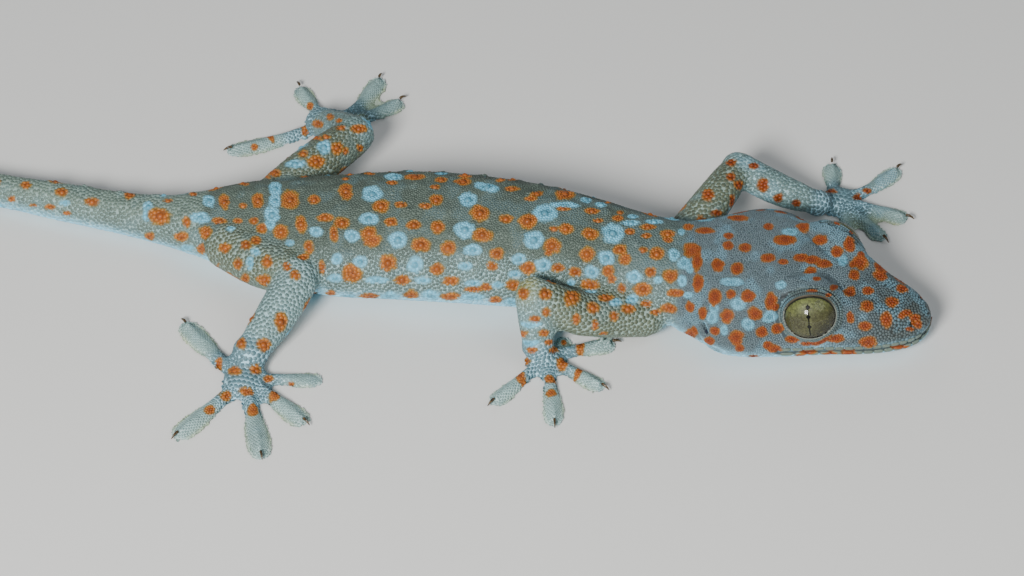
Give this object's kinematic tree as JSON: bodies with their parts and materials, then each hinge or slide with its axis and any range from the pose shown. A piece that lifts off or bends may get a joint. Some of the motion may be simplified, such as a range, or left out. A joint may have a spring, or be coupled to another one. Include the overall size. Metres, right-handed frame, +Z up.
{
  "type": "tokay gecko",
  "caption": "Life-size tokay gecko lying flat with spread legs, wide clawed toe pads, a broad turned head with large lidded eyes, and a long tapering tail.",
  "frame": {"origin": "on the floor under the middle of the back, on the flat of the belly", "axes": "+X along the body from tail to head, +Y to the animal's left, +Z up"},
  "size_m": [0.2859, 0.1133, 0.0212],
  "materials": {
    "skin": "matt scaly skin",
    "toe": "pale matt skin",
    "eye": "wet gloss",
    "claw": "horn"
  },
  "bodies": {
    "root": {"arm_left_lower": "skin", "arm_left_upper": "skin", "arm_right_lower": "skin", "arm_right_upper": "skin", "claw_foot_left_2": "claw", "claw_foot_left_3": "claw", "claw_foot_left_4": "claw", "claw_foot_left_5": "claw", "claw_foot_right_2": "claw", "claw_foot_right_3": "claw", "claw_foot_right_4": "claw", "claw_foot_right_5": "claw", "claw_hand_left_2": "claw", "claw_hand_left_3": "claw", "claw_hand_left_4": "claw", "claw_hand_left_5": "claw", "claw_hand_right_2": "claw", "claw_hand_right_3": "claw", "claw_hand_right_4": "claw", "claw_hand_right_5": "claw", "eye_left": "eye", "eye_right": "eye", "foot_left": "toe", "foot_right": "toe", "hand_left": "toe", "hand_right": "toe", "head": "skin", "neck": "skin", "shin_left": "skin", "shin_right": "skin", "tail_base": "skin", "tail_middle": "skin", "tail_tip": "skin", "thigh_left": "skin", "thigh_right": "skin", "torso": "skin"}
  },
  "joints": []
}
